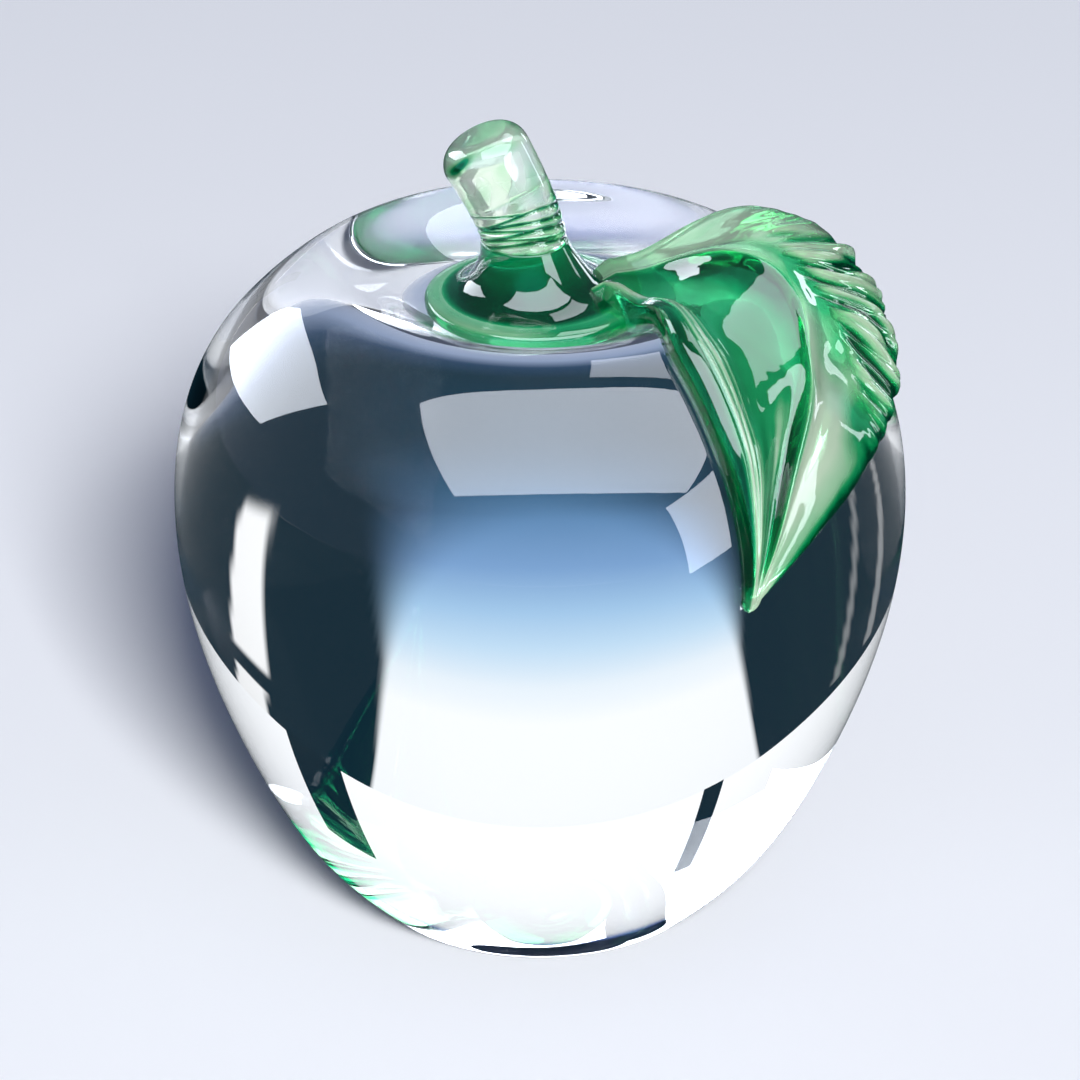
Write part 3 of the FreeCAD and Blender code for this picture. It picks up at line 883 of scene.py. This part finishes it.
class APPLE_OT_crystal(bpy.types.Operator):
    """Make the clear crystal body"""
    bl_idname = "glass_apple.crystal"
    bl_label = "Crystal body"

    def execute(self, context):
        settings = settings_of(context).crystal
        points = outline.at(np.linspace(0, outline.knots[-1], settings.rings + 1))[0]
        bm = bmesh.new()
        verts = [bm.verts.new((0, -radius, height)) for radius, height in points]
        verts.append(bm.verts.new((0, 0, 0)))
        for first, second in zip(verts, verts[1:]):
            bm.edges.new((first, second))
        bmesh.ops.spin(bm, geom=bm.verts[:] + bm.edges[:], cent=(0, 0, 0), axis=(0, 0, 1), angle=WHOLE_TURN,
                       steps=settings.turns, use_merge=True, dvec=(0, 0, 0))
        bmesh.ops.remove_doubles(bm, verts=bm.verts, dist=MERGE_DISTANCE)
        bmesh.ops.recalc_face_normals(bm, faces=bm.faces)
        base_edges = [edge for edge in bm.edges
                      if all(vertex.co.z < MERGE_DISTANCE and vertex.co.xy.length > BASE_RADIUS - MERGE_DISTANCE
                             for vertex in edge.verts)]
        bmesh.ops.bevel(bm, geom=base_edges, offset=BASE_ARRIS, affect="EDGES", segments=3, profile=0.5,
                        material=-1)
        draw_contact(bm, [bpy.data.objects[name] for name in ("leaf_glass", "foot_glass_piece")])
        materials = [polished_crystal(settings), fused_contact("crystal_contact", "#ffffff"),
                     ground_crystal(settings)]
        piece = finish_piece(bm, "apple_crystal", "crystal_body", materials)
        for polygon in piece.data.polygons:
            if polygon.normal.z < -0.9999:
                polygon.use_smooth = False
                polygon.material_index = 2
        return {"FINISHED"}


def aim(thing, azimuth, elevation, distance, target=(0, 0, 0)):
    """Puts a thing at a distance from target, by azimuth and elevation in degrees, and turns it to face it."""
    turn, tilt = math.radians(azimuth), math.radians(elevation)
    back = Vector((math.sin(turn) * math.cos(tilt), -math.cos(turn) * math.cos(tilt), math.sin(tilt)))
    thing.location = Vector(target) + back * distance
    thing.rotation_mode = "QUATERNION"
    thing.rotation_quaternion = back.to_track_quat("Z", "Y")


def first_look(tree, strength):
    """Strength of a glow that is off for light from a matt surface, so that it throws no speckled light."""
    bounces = add_node(tree, "ShaderNodeLightPath").outputs["Diffuse Depth"]
    first = add_node(tree, "ShaderNodeMath", {"operation": "LESS_THAN"}, i0=bounces, i1=0.5).outputs[0]
    return add_node(tree, "ShaderNodeMath", {"operation": "MULTIPLY"}, i0=first, i1=strength).outputs[0]


def seen_in_glass(bm, name, colour, strength):
    """Puts a panel in the stage that the glass mirrors and bends, and the camera doesn't see."""
    panel = new_object(bm, name)
    material, tree, output = new_material(name)
    glow = add_node(tree, "ShaderNodeEmission", Strength=first_look(tree, strength))
    if isinstance(colour, str):
        glow.inputs["Color"].default_value = linear(colour)
    else:
        tones = panel.data.attributes.new("tone", "FLOAT_COLOR", "POINT")
        tones.data.foreach_set("color", np.column_stack([colour, np.ones(len(colour))]).ravel())
        tone = add_node(tree, "ShaderNodeAttribute", {"attribute_name": "tone"})
        tree.links.new(tone.outputs["Color"], glow.inputs["Color"])
    tree.links.new(glow.outputs[0], output.inputs["Surface"])
    panel.data.materials.append(material)
    panel.visible_camera = False
    panel.visible_diffuse = False
    panel.visible_shadow = False
    return panel


def panel_mesh(corners):
    """Flat panel through four corners: two of one end, then two of the other."""
    bm = bmesh.new()
    bmesh.ops.create_grid(bm, x_segments=1, y_segments=1, size=1)
    for vertex in bm.verts:
        vertex.co = corners[2 * (vertex.co.x > 0) + (vertex.co.y > 0)]
    return bm


def upright_panel(azimuth, half_width, height):
    """Upright panel behind the glass, by azimuth from the front and half width in degrees."""
    corners = []
    for turn in (azimuth - half_width, azimuth + half_width):
        x, y = math.sin(math.radians(turn)), -math.cos(math.radians(turn))
        corners += [(x * UPRIGHT_DISTANCE, y * UPRIGHT_DISTANCE, up) for up in (0, height)]
    return panel_mesh(corners)


def beam_edge(x, y):
    """Half width of the beam of light behind the glass, on the side where x lies, at a distance y behind."""
    spread = np.where(x > 0, BEAM_SPREAD_RIGHT, BEAM_SPREAD_LEFT)
    return np.maximum(spread * (y - BEAM_START), BEAM_LEAST_HALF_WIDTH)


def backlight_colours(places):
    """Linear colours of the graduated light behind the glass: dark close by and beside, blue, then white."""
    x, y = places[:, 0], places[:, 1]
    reach = np.hypot(x, y)
    tones = np.array([linear(tone)[:3] for _, tone in BACKLIGHT_TONES])
    aways = [away * MM for away, _ in BACKLIGHT_TONES]
    centre = np.column_stack([np.interp(y, aways, tone) for tone in tones.T])
    feather = np.interp(y, *BEAM_FEATHER)
    near = eased((70 * MM - y) / (16 * MM)) * eased((75 * MM - np.abs(x)) / (30 * MM))
    beam = np.maximum(eased((beam_edge(x, y) - np.abs(x)) / feather + 0.6), near)
    strips = np.zeros(len(x))
    for side, slope, offset, spread, first, last, bright in BEAM_STRIPS:
        away = np.abs(y - slope * np.abs(x) - offset) / math.hypot(1, slope)
        strip = eased((spread * (reach - 42 * MM) - away) / (0.012 * reach) + 0.5) * (x * side > 0)
        strip = strip * eased((reach - first) / (0.10 * first)) * eased((last - reach) / (0.15 * last))
        strips = np.maximum(strips, strip * bright)
    dark = np.array(linear(SURROUND_TONE)[:3])
    return dark + (centre - dark) * beam[:, None] + (1 - dark) * (strips * (1 - beam))[:, None]


class APPLE_OT_stage(bpy.types.Operator):
    """Make the floor, lamps, background and camera"""
    bl_idname = "glass_apple.stage"
    bl_label = "Stage"

    def execute(self, context):
        settings = settings_of(context).stage
        self.make_floor(settings)
        self.make_backlight(settings)
        self.make_world(context.scene, settings)
        self.make_lamps(context.scene, settings)
        self.make_camera(context.scene)
        return {"FINISHED"}

    def make_floor(self, settings):
        """Plain paper floor, which fades to an even glow far off, and the light gathered under the base."""
        bm = bmesh.new()
        bmesh.ops.create_circle(bm, cap_ends=True, radius=FLOOR_RADIUS, segments=96)
        bmesh.ops.translate(bm, verts=bm.verts, vec=(0, 0, FLOOR_LEVEL))
        floor = new_object(bm, "floor")
        material, tree, output = new_material("matt_paper")
        place = add_node(tree, "ShaderNodeTexCoord").outputs["Object"]
        distance = add_node(tree, "ShaderNodeVectorMath", {"operation": "LENGTH"}, i0=place).outputs["Value"]
        far = add_node(tree, "ShaderNodeMapRange", {"interpolation_type": "SMOOTHSTEP"}, Value=distance,
                       From_Min=FLOOR_FADE[0], From_Max=FLOOR_FADE[1], To_Min=0.0, To_Max=1.0)
        paper = add_node(tree, "ShaderNodeBsdfDiffuse", Color=linear(settings.floor_colour))
        glow = add_node(tree, "ShaderNodeEmission", Color=linear(settings.floor_colour), Strength=1.0)
        mix = add_node(tree, "ShaderNodeMixShader", Fac=far.outputs[0], i1=paper.outputs[0], i2=glow.outputs[0])
        tree.links.new(mix.outputs[0], output.inputs["Surface"])
        floor.data.materials.append(material)
        bm = bmesh.new()
        bmesh.ops.create_grid(bm, x_segments=GATHERED_STEPS, y_segments=GATHERED_STEPS,
                              size=BASE_RADIUS - BASE_ARRIS)
        for vertex in bm.verts:
            vertex.co *= max(abs(vertex.co.x), abs(vertex.co.y)) / max(vertex.co.length, MERGE_DISTANCE)
            vertex.co.z = GATHERED_LEVEL
        share = eased(np.array([vertex.co.y for vertex in bm.verts]) / GATHERED_REACH)[:, None]
        near, far = (np.array(linear(tone)[:3]) for tone in GATHERED_TONES)
        seen_in_glass(bm, "gathered_light", between(near, far, share), settings.under_strength)

    def make_backlight(self, settings):
        """Graduated light and cards behind the glass, which give it its dark sides and white heart."""
        bm = bmesh.new()
        bmesh.ops.create_grid(bm, x_segments=BACKLIGHT_STEPS, y_segments=BACKLIGHT_STEPS, size=1)
        near, far = BACKLIGHT_REACH
        for vertex in bm.verts:
            across, along = vertex.co.x, (vertex.co.y + 1) / 2
            away = near * (far / near) ** along
            past_beam = max(0, abs(across) - BACKLIGHT_BEAM_SHARE) / (1 - BACKLIGHT_BEAM_SHARE)
            half = (float(beam_edge(across, away)) * abs(across) / BACKLIGHT_BEAM_SHARE
                    + BACKLIGHT_SPREAD * away * past_beam ** 2)
            vertex.co = (math.copysign(half, across), away, BACKLIGHT_LEVEL)
        places = np.array([vertex.co[:] for vertex in bm.verts])
        seen_in_glass(bm, "graduated_light", backlight_colours(places), settings.backlight_strength)
        ends = (-MIRRORED_CARD_REACH, MIRRORED_CARD_REACH)
        card = panel_mesh([(x, y, MIRRORED_CARD_LEVEL) for x in ends for y in ends])
        seen_in_glass(card, "mirrored_card", SURROUND_TONE, 1.0).visible_transmission = False
        for name, azimuth, half_width, height, share in MIRRORED_STRIPS:
            strip = seen_in_glass(upright_panel(azimuth, half_width, height), name, settings.softbox_colour,
                                  settings.softbox_strength * share)
            strip.visible_transmission = False
        for name, azimuth, half_width in SIDE_CARDS:
            seen_in_glass(upright_panel(azimuth, half_width, SIDE_CARD_HEIGHT), name, SURROUND_TONE, 1.0)

    def make_world(self, scene, settings):
        """Sky that the glass sees white behind and dark elsewhere, with a dim fill and a pale backdrop."""
        world = bpy.data.worlds.new("studio")
        scene.world = world
        world.use_nodes = True
        tree = world.node_tree
        tree.nodes.clear()
        output = tree.nodes.new("ShaderNodeOutputWorld")
        direction = add_node(tree, "ShaderNodeTexCoord").outputs["Generated"]
        way = add_node(tree, "ShaderNodeSeparateXYZ", Vector=direction)
        ramp = add_node(tree, "ShaderNodeValToRGB", Fac=way.outputs["Z"])
        while len(ramp.color_ramp.elements) < len(SKY_TONES):
            ramp.color_ramp.elements.new(0.5)
        for element, (position, colour) in zip(ramp.color_ramp.elements, SKY_TONES):
            element.position = position
            element.color = linear(colour)
        behind = add_node(tree, "ShaderNodeMapRange", {"interpolation_type": "SMOOTHSTEP"},
                          Value=way.outputs["Y"], From_Min=SKY_EDGE[0], From_Max=SKY_EDGE[1],
                          To_Min=SKY_SHARE_IN_FRONT * settings.sky_strength, To_Max=settings.sky_strength)
        glass_sees = add_node(tree, "ShaderNodeBackground", Color=ramp.outputs[0], Strength=behind.outputs[0])
        fill = add_node(tree, "ShaderNodeBackground", Color=linear(settings.fill_colour), Strength=1.0)
        backdrop = add_node(tree, "ShaderNodeBackground", Color=linear(settings.floor_colour), Strength=1.0)
        path = add_node(tree, "ShaderNodeLightPath").outputs
        mix = add_node(tree, "ShaderNodeMixShader", Fac=path["Is Transmission Ray"], i1=fill.outputs[0],
                       i2=glass_sees.outputs[0])
        mix = add_node(tree, "ShaderNodeMixShader", Fac=path["Is Camera Ray"], i1=mix.outputs[0],
                       i2=backdrop.outputs[0])
        tree.links.new(mix.outputs[0], output.inputs["Surface"])

    def make_lamps(self, scene, settings):
        """Key lamp that lights the floor and glass, and the softboxes that the glass shows."""
        lamp = bpy.data.lights.new("key", "AREA")
        lamp.shape = "RECTANGLE"
        lamp.size, lamp.size_y = KEY_LAMP_SIZE
        lamp.energy = settings.key_power
        key = bpy.data.objects.new("key", lamp)
        scene.collection.objects.link(key)
        aim(key, *KEY_LAMP_PLACE)
        key.visible_glossy = False
        key.visible_transmission = False
        for name, (share, corners) in SOFTBOXES.items():
            seen_in_glass(panel_mesh(corners), name, settings.softbox_colour, settings.softbox_strength * share)

    def make_camera(self, scene):
        """Camera at the angle of the photograph."""
        camera_data = bpy.data.cameras.new("camera")
        camera_data.sensor_width = CAMERA_SENSOR
        camera_data.lens = CAMERA_LENS
        camera_data.clip_start, camera_data.clip_end = CAMERA_CLIP
        camera = bpy.data.objects.new("camera", camera_data)
        scene.collection.objects.link(camera)
        aim(camera, *CAMERA_PLACE, CAMERA_TARGET)
        scene.camera = camera
        scene.view_settings.view_transform = "Standard"
        scene.cycles.max_bounces = LIGHT_BOUNCES
        scene.cycles.transmission_bounces = LIGHT_BOUNCES
        scene.cycles.glossy_bounces = GLOSSY_BOUNCES


class APPLE_PT_panel(bpy.types.Panel):
    """Buttons and settings of the glass apple"""
    bl_label = "Glass Apple"
    bl_space_type = "VIEW_3D"
    bl_region_type = "UI"
    bl_category = "Glass Apple"

    def draw(self, context):
        settings = settings_of(context)
        for operator, group in (("leaf", settings.leaf), ("foot", None), ("stem", settings.green),
                                ("crystal", settings.crystal), ("stage", settings.stage)):
            self.layout.operator("glass_apple." + operator)
            if group is not None:
                for name in group.__annotations__:
                    self.layout.prop(group, name)


CLASSES = (
    CrystalSettings, GreenSettings, LeafSettings, StageSettings, AppleSettings, APPLE_OT_leaf, APPLE_OT_stem,
    APPLE_OT_foot, APPLE_OT_crystal, APPLE_OT_stage, APPLE_PT_panel,
)


def register():
    for entry in CLASSES:
        bpy.utils.register_class(entry)
    bpy.types.Scene.glass_apple = PointerProperty(type=AppleSettings)


def unregister():
    del bpy.types.Scene.glass_apple
    for entry in reversed(CLASSES):
        bpy.utils.unregister_class(entry)


def main():
    """Makes every piece and the stage."""
    register()
    for operator in ("leaf", "foot", "stem", "crystal", "stage"):
        getattr(bpy.ops.glass_apple, operator)()


if __name__ == "__main__":
    main()
